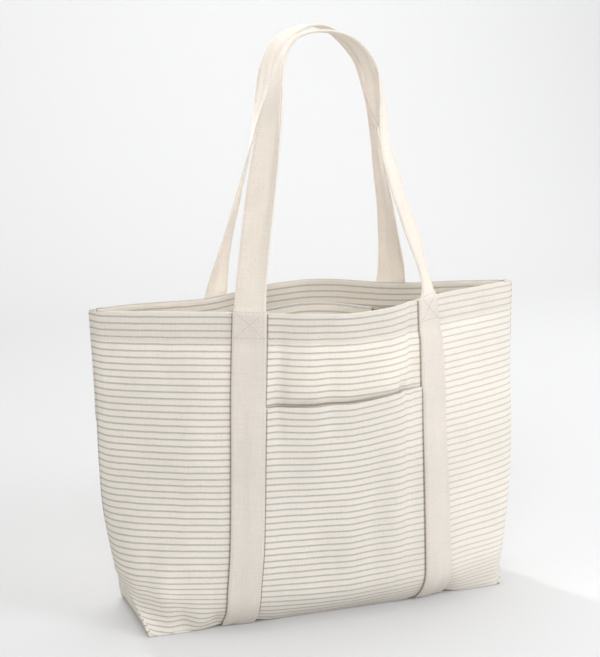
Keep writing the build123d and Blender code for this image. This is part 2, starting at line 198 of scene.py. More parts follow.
def make_skin(side, left, right, bow, rim_sag, dents):
    """The outer face of one panel as rows of points, from the rim down the wall and under the base."""
    roll = belly_height * (1 - np.cos(np.linspace(np.pi / 2, 0, 15)))
    wall_z = np.concatenate([np.linspace(rim_height, side_seam_foot, 86)[:-1],
                             np.linspace(side_seam_foot, belly_height, 7)[:-1], roll])
    rows, across, left_strap, right_strap = [], [], [], []
    left_line = quarter_points(left, wall_z) * np.array([-1, 1])
    right_line = quarter_points(right, wall_z)[:, ::-1]
    bow_x = through(plan_heights, bow["x"], np.maximum(wall_z, belly_height))
    bow_y = down_to_floor(bow, "y", wall_z)
    for k, z in enumerate(wall_z):
        crown = np.array([bow_x[k], bow_y[k]])
        middle = [crown]
        for strap_edge, place in ((left_line[k, -1], 0), (right_line[k, 0], 2)):
            bulge = np.array([0, 0.25 * (crown[1] - strap_edge[1])])
            middle.insert(place, (strap_edge + crown) / 2 + bulge)
        dense, run = evenly(np.concatenate([left_line[k], middle, right_line[k]]), wall_samples)
        rounding = float(np.interp(z, [0, 0.05, 0.12, 0.342], [0.007, 0.006, 0.009, 0.014]))
        spread = (wall_samples - 1) / run[-1] * rounding
        points, new_run = evenly(soften(dense, spread), columns_across)
        rows.append(np.column_stack([points[:, 0], points[:, 1] * side, np.full(columns_across, z)]))
        run = run * new_run[-1] / run[-1]
        across.append(np.linspace(0, new_run[-1], columns_across) - run[7])
        left_strap.append((run[4] + run[5]) / 2 - run[7])
        right_strap.append((run[9] + run[10]) / 2 - run[7])
    wall = np.array(rows)
    across = np.array(across)

    share = np.where(across < 0, across / -across[:, :1], across / across[:, -1:])
    sag = through(rim_sag[0], rim_sag[1], share.ravel()).reshape(share.shape)
    wall[:, :, 2] += sag * np.clip((wall_z[:, None] - 0.18) / (rim_height - 0.18), 0, 1) ** 1.5
    from_seam = np.minimum(across - across[:, :1], across[:, -1:] - across)
    round_end = np.clip(1 - from_seam / 0.010, 0, 1) ** 2
    above_foot = smooth_step(side_seam_foot, side_seam_foot + 0.06, wall_z)
    wall[:, :, 1] += seam_wrap * round_end * above_foot[:, None]

    base_z = wall_z[wall_z <= side_seam_foot + 1e-6][::-1][1:]
    foot = wall[-1]
    base = np.zeros((len(base_z), columns_across, 3))
    for k, z in enumerate(base_z):
        y = float(through(corner_seam_z, corner_seam_y, [z])[0])
        up = np.linspace(0, z, 12)
        wide = through(corner_seam_z, corner_seam_y, up)
        tuck = base_end_tuck * (1 - up / side_seam_foot) * (1 - (y / np.maximum(wide, 1e-9)) ** 2)
        tuck[-1] = 0
        rise = np.stack([through(corner_seam_z, corner_seam_x, up) - tuck, up], -1)
        dense, run = evenly(np.concatenate([[[0, 0]], rise]), base_samples)
        dense = soften(dense, (base_samples - 1) / run[-1] * 0.003)
        from_middle = np.abs(foot[:, 0])
        stretch = (run[-1] - base_straight) / (corner_seam_x[0] - base_straight)
        reach = from_middle + np.maximum(from_middle - base_straight, 0) * (stretch - 1)
        at = reach / run[-1] * (base_samples - 1)
        base[k, :, 0] = np.interp(at, np.arange(base_samples), dense[:, 0]) * np.sign(foot[:, 0])
        base[k, :, 1] = foot[:, 1] * y / corner_seam_y[0]
        base[k, :, 2] = np.interp(at, np.arange(base_samples), dense[:, 1])

    skin = np.concatenate([wall, base])
    lift = 0.0006 + 0.0012 * smooth_step(0.125, 0.113, np.abs(skin[:, :, 0]))
    for x in (-left["floor_strap_x"], right["floor_strap_x"]):
        lift = lift + 0.0024 * smooth_step(0.036, 0.019, np.abs(skin[:, :, 0] - x))
    skin[:, :, 2] += lift * np.clip(1 - skin[:, :, 2] / 0.03, 0, 1)

    count = len(base_z)
    across = np.concatenate([across, np.repeat(across[-1:], count, 0)])
    skin_data = dict(
        side=side, points=skin, across=across, wall_rows=len(wall_z),
        height=np.concatenate([wall_z, np.zeros(count)]),
        left_strap=np.append(left_strap, [left_strap[-1]] * count),
        right_strap=np.append(right_strap, [right_strap[-1]] * count))
    face_out(skin_data)
    z = skin_data["height"][:, None]
    hem_line = rim_height - hem_depth
    shift = hem_step * smooth_step(hem_line, hem_line - 0.014, z) * smooth_step(0.19, 0.27, z) + 0 * across
    for s, dent_z, width, tall, depth in dents:
        shift += depth * np.exp(-((across - s) / width) ** 2 - ((z - dent_z) / tall) ** 2)
    shift *= smooth_step(0, 0.04, np.minimum(across - across[:, :1], across[:, -1:] - across))
    skin_data["points"] += skin_data["out"] * shift[:, :, None]
    face_out(skin_data)
    fall = np.linalg.norm(np.diff(skin_data["points"], axis=0), axis=2)
    skin_data["down"] = np.concatenate([np.zeros((1, columns_across)), np.cumsum(fall, 0)])
    return skin_data


def face_out(skin):
    """Outward direction at each point of a skin."""
    p = skin["points"]
    out = np.cross(np.gradient(p, axis=0), np.gradient(p, axis=1))
    skin["out"] = unit(out) * (-skin["side"])


def on_skin(skin, row, s):
    """Points and outward directions at the distances s across, on one row of a skin."""
    at = skin["across"][row]
    p = np.stack([np.interp(s, at, skin["points"][row, :, k]) for k in range(3)], -1)
    n = np.stack([np.interp(s, at, skin["out"][row, :, k]) for k in range(3)], -1)
    return p, unit(n)


def cloth_mesh(name, grid, cloth, outward=1):
    """Object made from a grid of points, with each point's place on the flat cloth as its UV."""
    rows, columns = grid.shape[:2]
    index = np.arange(rows * columns).reshape(rows, columns)
    quads = np.stack([index[:-1, :-1], index[1:, :-1], index[1:, 1:], index[:-1, 1:]], -1).reshape(-1, 4)
    if outward < 0:
        quads = quads[:, ::-1]
    mesh = bpy.data.meshes.new(name)
    mesh.from_pydata(grid.reshape(-1, 3).tolist(), [], quads.tolist())
    layer = mesh.uv_layers.new(name="cloth")
    layer.data.foreach_set("uv", cloth.reshape(-1, 2)[quads.ravel()].astype(np.float32).ravel())
    mesh.shade_smooth()
    obj = bpy.data.objects.new(name, mesh)
    bpy.context.collection.objects.link(obj)
    return obj


def thicken(obj, thickness):
    solid = obj.modifiers.new("cloth", "SOLIDIFY")
    solid.thickness = thickness
    solid.offset = -1
    solid.use_quality_normals = True


def fold_over(points, out, rise, radius, inside_rows):
    """Rows of a top edge that is rolled over to the inside and laid down the back of the given rows."""
    rows = []
    for k in inside_rows[::-1]:
        rows.append(points[k] - out[k] * 2 * radius)
    for turn in np.linspace(np.pi, 0, 7)[1:-1]:
        rows.append(points[0] - out[0] * radius * (1 - np.cos(turn)) + rise * radius * np.sin(turn))
    return rows


def node(tree, kind, inputs=(), **settings):
    """Adds a shader node, sets it up and fills its inputs with values or links."""
    made = tree.nodes.new(kind)
    for key, value in settings.items():
        setattr(made, key, value)
    for key, value in dict(inputs).items():
        if isinstance(value, bpy.types.NodeSocket):
            tree.links.new(value, made.inputs[key])
        else:
            made.inputs[key].default_value = value
    return made


def sums(tree, operation, a, b=0.0, c=0.0):
    return node(tree, "ShaderNodeMath", {0: a, 1: b, 2: c}, operation=operation).outputs[0]


def ramped(tree, value, low, high, to_low=0.0, to_high=1.0):
    return node(tree, "ShaderNodeMapRange", {"Value": value, "From Min": low, "From Max": high,
                "To Min": to_low, "To Max": to_high}, interpolation_type="SMOOTHSTEP").outputs["Result"]


def blended(tree, share, a, b, kind="MIX"):
    made = node(tree, "ShaderNodeMix", data_type="RGBA", blend_type=kind)
    for socket, value in ((made.inputs[0], share), (made.inputs[6], a), (made.inputs[7], b)):
        if isinstance(value, bpy.types.NodeSocket):
            tree.links.new(value, socket)
        else:
            socket.default_value = value
    return made.outputs[2]


def canvas(name, cotton, thread_pitch, sheer, striped=False, twill=False):
    """Unbleached cotton with uneven yarns, seed flecks and, on the body cloth, thin grey stripes.
    On the body cloth it also carries painted light: painted shade over the hem band and in thin lines beside
    the strap edges and above the pocket mouth, and stripes washed out where the light falls strongest.
    A share of the light goes through it."""
    material = bpy.data.materials.new(name)
    material.use_nodes = True
    tree = material.node_tree
    tree.nodes.clear()
    place = node(tree, "ShaderNodeUVMap", uv_map="cloth").outputs[0]
    split = node(tree, "ShaderNodeSeparateXYZ", {0: place})
    u, v = split.outputs[0], split.outputs[1]

    def noise(scale_u, scale_v, detail, rough):
        stretched = node(tree, "ShaderNodeMapping", {"Vector": place, "Scale": (scale_u, scale_v, 1)})
        return node(tree, "ShaderNodeTexNoise", {"Vector": stretched.outputs[0], "Scale": 1.0,
                    "Detail": detail, "Roughness": rough}, noise_dimensions="2D").outputs["Fac"]

    weft_slubs = noise(35, 1500, 2, 0.6)
    warp_slubs = noise(1500, 35, 2, 0.6)
    clouds = noise(14, 14, 3, 0.5)
    flecks = noise(520, 640, 0, 0.5)
    warp = sums(tree, "SINE", sums(tree, "MULTIPLY", u, 2 * np.pi / thread_pitch))
    weft = sums(tree, "SINE", sums(tree, "MULTIPLY", v, 2 * np.pi / thread_pitch))
    weave = sums(tree, "MULTIPLY", warp, weft)
    if twill:
        slant = sums(tree, "MULTIPLY", sums(tree, "ADD", u, v), 2 * np.pi / thread_pitch)
        weave = sums(tree, "SINE", slant)

    tone = sums(tree, "MULTIPLY_ADD", weave, 0.024, 0.93)
    tone = sums(tree, "ADD", tone, ramped(tree, weft_slubs, 0.25, 0.75, -0.025, 0.025))
    tone = sums(tree, "ADD", tone, ramped(tree, warp_slubs, 0.25, 0.75, -0.025, 0.025))
    tone = sums(tree, "ADD", tone, ramped(tree, clouds, 0.3, 0.7, -0.018, 0.018))
    shade = node(tree, "ShaderNodeCombineColor", {0: tone, 1: tone, 2: tone}).outputs[0]
    colour = blended(tree, 1.0, (*cotton, 1), shade, "MULTIPLY")
    if striped:
        wander = sums(tree, "MULTIPLY_ADD", noise(60, 8, 1, 0.5), 0.0006, -0.0003)
        from_first = sums(tree, "SUBTRACT", sums(tree, "ADD", v, wander), first_stripe)
        line = sums(tree, "DIVIDE", from_first, stripe_pitch)
        within = sums(tree, "FRACT", sums(tree, "ADD", line, 0.5))
        apart = sums(tree, "ABSOLUTE", sums(tree, "SUBTRACT", within, 0.5))
        edge = stripe_width / stripe_pitch / 2
        inked = ramped(tree, apart, edge * 1.6, edge * 0.4)
        wear_and_glare = ramped(tree, noise(260, 900, 2, 0.6), 0.2, 0.8, 0.55, 0.78)
        # Painted highlight: the stripes are weakened by a point value, over the right of the front where the
        # light falls strongest, and at the boxed ends of the base
        glare_and_end_fade = node(tree, "ShaderNodeAttribute", attribute_name="glare_and_end_fade").outputs["Fac"]
        wear_and_glare = sums(tree, "MULTIPLY", wear_and_glare, sums(tree, "MULTIPLY_ADD", glare_and_end_fade, -0.34, 1.0))
        colour = blended(tree, sums(tree, "MULTIPLY", inked, wear_and_glare), colour, (0.375, 0.368, 0.357, 1))
        # Painted shade: the hem band is darkened a little, for the doubled cloth letting less light through
        hem_shade = sums(tree, "MULTIPLY", ramped(tree, v, hem_depth + 0.0015, hem_depth - 0.001), 0.10)
        colour = blended(tree, hem_shade, colour, (0.42, 0.36, 0.29, 1))
        # Painted shade: thin dark brown lines beside the strap edges and just above the pocket mouth, where
        # the narrow gaps lie in shade
        painted_edge_shade = (("strap_edge", 1.07, 0.14, 0.6), ("mouth_shade_line", 1.0, 0.13, 0.34))
        for crease, place_at, reach, depth in painted_edge_shade:
            mark_at = node(tree, "ShaderNodeAttribute", attribute_name=crease).outputs["Fac"]
            off = sums(tree, "ABSOLUTE", sums(tree, "SUBTRACT", mark_at, place_at))
            near = ramped(tree, off, reach, reach * 0.3)
            colour = blended(tree, sums(tree, "MULTIPLY", near, depth), colour, (0.16, 0.115, 0.08, 1))
    seed = sums(tree, "MULTIPLY", ramped(tree, flecks, 0.80, 0.86), 0.26)
    colour = blended(tree, seed, colour, (0.36, 0.25, 0.14, 1))

    height = sums(tree, "ADD", sums(tree, "MULTIPLY", weave, 0.5), sums(tree, "ADD", weft_slubs, warp_slubs))
    bump = node(tree, "ShaderNodeBump", {"Strength": 0.35, "Distance": 0.00025, "Height": height})
    rough = ramped(tree, clouds, 0.3, 0.7, 0.84, 0.95)
    shader = node(tree, "ShaderNodeBsdfPrincipled", {
        "Base Color": colour, "Roughness": rough, "Normal": bump.outputs[0],
        "Sheen Weight": 0.12, "Sheen Roughness": 0.5, "Specular IOR Level": 0.25})
    glow = node(tree, "ShaderNodeBsdfTranslucent", {"Color": colour, "Normal": bump.outputs[0]})
    cloth = node(tree, "ShaderNodeMixShader", {0: sheer, 1: shader.outputs[0], 2: glow.outputs[0]})
    node(tree, "ShaderNodeOutputMaterial", {0: cloth.outputs[0]})
    return material


striped_canvas = canvas("striped_canvas", (0.940, 0.886, 0.800), 0.0011, 0.25, striped=True)

# Soft folds and hollows of the front: distance across, height, half width, half height, and how far out or in
front_dents = [
    (-0.074, 0.262, 0.009, 0.050, -0.0048),
    (-0.018, 0.256, 0.012, 0.040, -0.0035),
    (-0.030, 0.326, 0.012, 0.026, -0.0016),
    (0.080, 0.288, 0.006, 0.050, -0.0042),
    (0.068, 0.252, 0.005, 0.014, -0.0040),
    (0.050, 0.300, 0.015, 0.050, 0.0018),
    (-0.045, 0.290, 0.014, 0.040, 0.0012),
    (-0.172, 0.012, 0.010, 0.010, -0.0030),
    (-0.153, 0.014, 0.010, 0.010, 0.0022),
    (-0.136, 0.010, 0.009, 0.010, -0.0024),
    (-0.212, 0.060, 0.010, 0.030, -0.0022),
    (-0.192, 0.055, 0.010, 0.035, 0.0018),
    (-0.178, 0.250, 0.016, 0.050, -0.0016),
    (-0.030, 0.100, 0.018, 0.060, -0.0016),
    (-0.058, 0.165, 0.024, 0.110, -0.0030),
    (0.004, 0.085, 0.014, 0.050, 0.0014),
    (0.036, 0.105, 0.012, 0.060, -0.0018),
    (0.060, 0.120, 0.010, 0.060, 0.0018),
    (0.082, 0.130, 0.008, 0.060, -0.0016),
]
front_rim_sag = ((-1, -0.95, -0.43, 0, 0.43, 1), (-0.0012, -0.0026, -0.0006, -0.0036, 0.0008, 0))
back_rim_sag = ((-1, -0.43, 0.1, 0.43, 1), (-0.0012, -0.0050, -0.0025, -0.0020, 0))
front_skin = make_skin(-1, front_left, front_right, front_bow, front_rim_sag, front_dents)
back_skin = make_skin(1, back_left, back_right, back_bow, back_rim_sag, [])


def pressed_in(skin, low, high, z, tall, depth):
    """A copy of a skin that is pressed in along a level band between two distances across."""
    window = smooth_step(low, low + 0.03, skin["across"]) * smooth_step(high, high - 0.03, skin["across"])
    weight = window * np.exp(-((skin["height"][:, None] - z) / tall) ** 2)
    pressed = dict(skin, points=skin["points"] - skin["out"] * (weight * depth)[:, :, None])
    face_out(pressed)
    return pressed


def strap_edge_shade_mark(skin, rows, across):
    """Distance to the nearest strap edge, as 1 at the edge and 0.1 more or less for each millimetre, used to
    paint thin lines of shade beside the straps.
    """
    gap = np.minimum(np.abs(across - skin["left_strap"][rows, None]),
                     np.abs(across - skin["right_strap"][rows, None])) - strap_width / 2
    return 1 + np.clip(gap / 0.01, -1, 1)


def mark(obj, name, values):
    """Stores a value for each point of a cloth, for its material to read."""
    attribute = obj.data.attributes.new(name, "FLOAT", "POINT")
    attribute.data.foreach_set("value", values.astype(np.float32).ravel())


def seam_inward(skin, end):
    """Direction into the bag in which both turned-in edges of a seam lie, at one end of each row of a skin.
    At a boxed corner it halves the angle between the wall and the row of the base that is sewn to it."""
    side = -1.0 if end == 0 else 1.0
    seam = skin["points"][:, end]
    level = unit(np.stack([np.full(len(seam), -side * 0.012), -seam[:, 1], np.zeros(len(seam))], -1))
    along = unit(skin["points"][:, 5 if end == 0 else -6] - seam)
    low = skin["height"] < side_seam_foot - 1e-6
    floor_row = skin["wall_rows"] - 1
    sewn_to = np.where(low, 2 * floor_row - np.arange(len(seam)), 0)
    seam_run = unit(np.gradient(seam, axis=0))
    halved = along + along[sewn_to]
    halved = unit(halved - seam_run * (halved * seam_run).sum(1)[:, None])
    halved[floor_row] = unit(halved[floor_row - 1] + halved[floor_row + 1])
    return np.where(low[:, None], halved, level)


def drawn_in(skin, rows):
    """Points and outward directions of the top rows of a skin, drawn in a little from the side seams."""
    points, out = [], []
    for k in range(rows):
        at = skin["across"][k]
        shift = smooth_step(0.030, 0, at - at[0]) - smooth_step(0.030, 0, at[-1] - at)
        p, n = on_skin(skin, k, at + 0.007 * shift)
        points.append(p)
        out.append(n)
    return np.array(points), np.array(out)


def make_panel(name, skin):
    """One body panel: rolled rim and inside hem, wall, half of the base, and turned-in seam edges."""
    points, out, rows = skin["points"], skin["out"], skin["wall_rows"]
    hem_rows = [k for k in range(1, rows) if skin["down"][k].mean() <= hem_depth + 0.001]
    top = fold_over(*drawn_in(skin, len(hem_rows) + 1), np.array([0, 0, 1.0]), hem_fold_radius, hem_rows)
    grid = np.concatenate([np.array(top), points])
    inner = -np.pi * hem_fold_radius - np.array([skin["down"][k] for k in hem_rows[::-1]])
    rolled = np.repeat(-np.linspace(np.pi, 0, 7)[1:-1, None] * hem_fold_radius, columns_across, 1)
    v = np.concatenate([inner, rolled, skin["down"]])
    u = np.concatenate([np.repeat(skin["across"][:1], len(top), 0), skin["across"]])
    clear = np.array([0, 0.0003 * skin["side"], 0])
    for end, side in ((0, -1), (-1, 1)):
        inward = seam_inward(skin, end)
        inward = np.concatenate([np.repeat(inward[:1], len(top), 0), inward])
        steps = (0.0016, 0.005, seam_allowance)
        # The turned-in edges are cut short near the floor, where wall and base leave them no room
        trimmed = 0.15 + 0.85 * smooth_step(0, 0.024, grid[:, [end], 2])
        turned = np.stack([grid[:, end] + inward * trimmed * step + clear for step in steps], 1)
        turned_u = np.stack([u[:, end] + side * step for step in steps], 1)
        turned_v = np.repeat(v[:, [end]], 3, 1)
        if end == 0:
            grid = np.concatenate([turned[:, ::-1], grid], 1)
            u, v = np.concatenate([turned_u[:, ::-1], u], 1), np.concatenate([turned_v, v], 1)
        else:
            grid = np.concatenate([grid, turned], 1)
            u, v = np.concatenate([u, turned_u], 1), np.concatenate([v, turned_v], 1)
    panel = cloth_mesh(name, grid, np.stack([u, v], -1), -skin["side"])
    spare = ((len(top), 0), (3, 3))
    # The painted shade lines beside the straps follow this mark
    mark(panel, "strap_edge", np.pad(strap_edge_shade_mark(skin, slice(None), skin["across"]), spare))
    # Painted highlight: the stripes wash out over the right of the front, where the light falls strongest;
    # they are also weakened at the boxed ends of the base
    glare_and_end_fade = smooth_step(-0.03, 0.12, skin["across"]) if skin["side"] < 0 else np.zeros_like(skin["across"])
    boxed_end = smooth_step(0.185, 0.203, np.abs(points[rows:, :, 0]))
    glare_and_end_fade[rows:] = np.maximum(glare_and_end_fade[rows:], boxed_end_fade * boxed_end)
    mark(panel, "glare_and_end_fade", np.pad(glare_and_end_fade, spare))
    # Painted shade: a thin line just above the pocket mouth, between the straps, where the opening lies in
    # shade
    if skin["side"] < 0:
        left, right = skin["left_strap"][:, None], skin["right_strap"][:, None]
        share = (skin["across"] - left) / (right - left)
        mouth = pocket_mouth + pocket_rise * smooth_step(0.25, 1, share)
        above = np.clip((skin["height"][:, None] - mouth) / 0.01, -1, 1)
        between = (skin["across"] > left) & (skin["across"] < right)
        mark(panel, "mouth_shade_line", np.pad(np.where(between, 1 + above, 0), spare))
    thicken(panel, canvas_thickness)
    panel.data.materials.append(striped_canvas)
    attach(panel, "bag")
    return panel


behind_mouth = pressed_in(front_skin, -0.098, 0.100, pocket_mouth - 0.008, 0.013, 0.005)
front_panel = make_panel("front_panel_cloth", behind_mouth)
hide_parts("front_panel")
back_panel = make_panel("back_panel_cloth", back_skin)
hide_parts("back_panel")


# Front patch pocket. A rectangle of the striped canvas on the front panel, its mouth turned over in a
# 13 mm hem, its sides caught under the two straps and its foot taken into the base seam.
# The mouth stands open a little.
pocket_hem = 0.013
pocket_gape = 0.0045
pocket_lay = 0.0016
pocket_columns = 121


def make_pocket(name, skin, rows, left, right, lay, columns, hem, hem_radius,
                sag=0.0, rise=0.0, stripe_shift=0.0):
    """A cloth laid on a skin over some of its rows, with a rolled and turned top edge that may sag at its
    ends or rise to the right."""
    share = np.linspace(0, 1, columns)
    points, out, u, v = [], [], [], []
    for k in rows:
        s = left[k] + (right[k] - left[k]) * share
        p, n = on_skin(skin, k, s)
        p[:, 2] -= sag * (2 * share - 1) ** 2 * (skin["height"][k] - skin["height"][rows[-1]])
        p[:, 2] += rise * smooth_step(0.25, 1, share) * smooth_step(0.1, pocket_mouth, skin["height"][k])
        points.append(p + n * lay(share, skin["height"][k])[:, None])
        out.append(n)
        u.append(s)
        v.append(np.interp(s, skin["across"][k], skin["down"][k]) + stripe_shift)
    points, out, u, v = (np.array(a) for a in (points, out, u, v))
    depth = v - v[:1]
    hem_rows = [k for k in range(1, len(rows)) if depth[k].mean() <= hem + 0.001]
    top = fold_over(points, out, np.array([0, 0, 1.0]), hem_radius, hem_rows)
    grid = np.concatenate([np.array(top), points])
    inner = v[:1] - depth[hem_rows[::-1]]
    rolled = v[:1] - np.linspace(np.pi, 0, 7)[1:-1, None] * hem_radius
    flat_u = np.concatenate([np.repeat(u[:1], len(top), 0), u])
    flat_v = np.concatenate([inner, rolled, v])
    cloth = cloth_mesh(name, grid, np.stack([flat_u, flat_v], -1), -skin["side"])
    return points, out, u, cloth


def front_pocket_lay(share, z):
    return pocket_lay + pocket_gape * (4 * share * (1 - share)) ** 1.6 * smooth_step(0.110, pocket_mouth, z)


pocket_rows = [k for k in range(len(front_skin["points"])) if front_skin["height"][k] <= pocket_mouth + 0.001]
pocket_points, pocket_out, pocket_across, front_pocket = make_pocket(
    "front_pocket_cloth", front_skin, pocket_rows, front_skin["left_strap"] + 0.004,
    front_skin["right_strap"] - 0.004, front_pocket_lay, pocket_columns, pocket_hem, 0.0010, rise=pocket_rise)
hem_rows = len(front_pocket.data.vertices) // pocket_columns - len(pocket_rows)
hem_spare = ((hem_rows, 0), (0, 0))
# Painted shade beside the straps, as on the front panel
mark(front_pocket, "strap_edge", np.pad(strap_edge_shade_mark(front_skin, pocket_rows, pocket_across), hem_spare))
# Painted highlight: the pocket's stripes wash out towards the right, as on the front panel
mark(front_pocket, "glare_and_end_fade", np.pad(smooth_step(-0.03, 0.12, pocket_across), hem_spare))
thicken(front_pocket, 0.0010)
front_pocket.data.materials.append(striped_canvas)
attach(front_pocket, "bag")
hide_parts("front_pocket")


# Inside slip pocket. A smaller rectangle of the same canvas sewn to the inside of the back panel, below
# its hem, with a turned mouth and plain sewn sides and foot.
inner_mouth = 0.317
inner_foot = 0.165
inner_half_width = 0.094
inner_bulge = 0.014
inner_hem = 0.014
inner_columns = 91


def inner_pocket_lay(share, z):
    bulge = inner_bulge * smooth_step(inner_mouth, inner_mouth - 0.045, z) * smooth_step(inner_foot, 0.25, z)
    sewn_edge = 0.0014 * smooth_step(0.97, 0.99, np.abs(2 * share - 1))
    return sewn_edge - 0.0044 - bulge * (4 * share * (1 - share)) ** 0.6


inner_rows = [k for k in range(back_skin["wall_rows"])
              if inner_foot - 0.001 <= back_skin["height"][k] <= inner_mouth + 0.001]
inner_middle = (back_skin["left_strap"] + back_skin["right_strap"]) / 2 + 0.006
inner_points, inner_out, _, inner_pocket = make_pocket(
    "inner_pocket_cloth", back_skin, inner_rows,
    inner_middle - inner_half_width, inner_middle + inner_half_width, inner_pocket_lay,
    inner_columns, inner_hem, -0.0010, sag=0.02, stripe_shift=0.0045)
thicken(inner_pocket, 0.0009)
inner_pocket.data.materials.append(striped_canvas)
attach(inner_pocket, "bag")
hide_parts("inner_pocket")


# Seam bindings. Folded cotton twill tape sewn over the raw edges inside the bag: up each side seam, along
# the upper part of the slanted seam of each boxed corner, and flat along the seam in the middle of the base.
tape_half_gap = 0.0022
tape_reach = 0.0105
corner_tape_foot = 0.022
side_tape_top = rim_height - 0.031
binding_tape = canvas("binding_tape", (0.89, 0.835, 0.745), 0.0012, 0.2, twill=True)


def make_tape(name, seam, inward, across):
    """A tape folded over a seam's turned-in edges, along a row of seam points."""
    profile = [(0.0032, -1), (0.006, -1), (0.0095, -1), (0.0103, -0.7), (tape_reach, 0),
               (0.0103, 0.7), (0.0095, 1), (0.006, 1), (0.0032, 1)]
    grid = np.stack([seam + inward * reach + across * side * tape_half_gap for reach, side in profile], 1)
    run = np.concatenate([[0], np.cumsum(np.linalg.norm(np.diff(seam, axis=0), axis=1))])
    u = np.concatenate([[0], np.cumsum(np.linalg.norm(np.diff(grid[0], axis=0), axis=1))])
    middle = np.stack(np.broadcast_arrays(u[None, :], run[:, None]), -1)
    tape = cloth_mesh(name, grid, middle)
    thicken(tape, 0.0005)
    tape.data.materials.append(binding_tape)
    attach(tape, "bag")
    return tape


for end, name in ((0, "left"), (-1, "right")):
    rows = front_skin["wall_rows"]
    heights = front_skin["height"][:rows]
    side_rows = np.where((heights >= side_seam_foot - 1e-6) & (heights <= side_tape_top))[0]
    inward = seam_inward(front_skin, end)
    across = np.tile([0, 1.0 if end == 0 else -1.0, 0], (len(side_rows), 1))
    seam = front_skin["points"][side_rows, end]
    side_tape = make_tape(name + "_side_tape", seam, inward[side_rows], across)
    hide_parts(name + "_side_binding")

    corner_rows = [k for k in range(rows, len(inward)) if front_skin["points"][k, end, 2] > corner_tape_foot]
    seam = front_skin["points"][corner_rows, end]
    lie = inward[corner_rows]
    mirror = np.array([1, -1, 1])
    foot_lie = unit(lie[-1] * np.array([1, 0, 1]))
    seam = np.concatenate([seam, (seam * mirror)[-2::-1]])
    lie = np.concatenate([lie[:-1], [foot_lie], (lie * mirror)[-2::-1]])
    aside = unit(np.cross(np.gradient(seam, axis=0), lie))
    corner_tape = make_tape(name + "_corner_tape", seam, lie, aside if end == 0 else -aside)
    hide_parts(name + "_corner_binding")

base_x = np.linspace(-0.192, 0.192, 65)
base_line = np.stack([base_x, np.zeros(65), np.interp(
    base_x, front_skin["points"][-1, :, 0], front_skin["points"][-1, :, 2]) + canvas_thickness + 0.0004], -1)
tape_y = np.linspace(-0.005, 0.005, 7)
tape_arch = np.array([0, 4, 6, 7, 6, 4, 0]) * 1e-4
tape_grid = base_line[:, None, :] + np.stack([np.zeros(7), tape_y, tape_arch], -1)
base_tape = cloth_mesh("base_tape", tape_grid, np.stack(np.broadcast_arrays(
    tape_y[None, :], base_x[:, None]), -1))
thicken(base_tape, 0.0004)
base_tape.data.materials.append(binding_tape)
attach(base_tape, "bag")
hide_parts("base_binding")


# Straps. Two plain cotton canvas strips folded to 35 mm and stitched along both edges. Each runs from the
# base seam up one side of the panel, rises free over the rim as the carrying handle, and runs down the
# other side.
mm = 0.001
strap_thickness = 0.0023
strap_lay = 0.0004
stitch_inset = 0.0027
loop_samples = 900
strap_canvas = canvas("strap_canvas", (0.935, 0.879, 0.808), 0.0010, 0.36)
strap_half = np.array([0.1, 0.25, 0.4, 0.55, 0.7, 0.84, 0.97, 1])
strap_across = np.concatenate([-strap_half[::-1], strap_half])
strap_top = np.interp(np.abs(strap_across), [0, 0.7, 0.84, 0.97, 1], [1, 1, 0.88, 1, 0.55]) * strap_thickness
strap_under = np.where(np.abs(strap_across) == 1, 0.45, 0) * strap_thickness
strap_across = strap_across * strap_width / 2


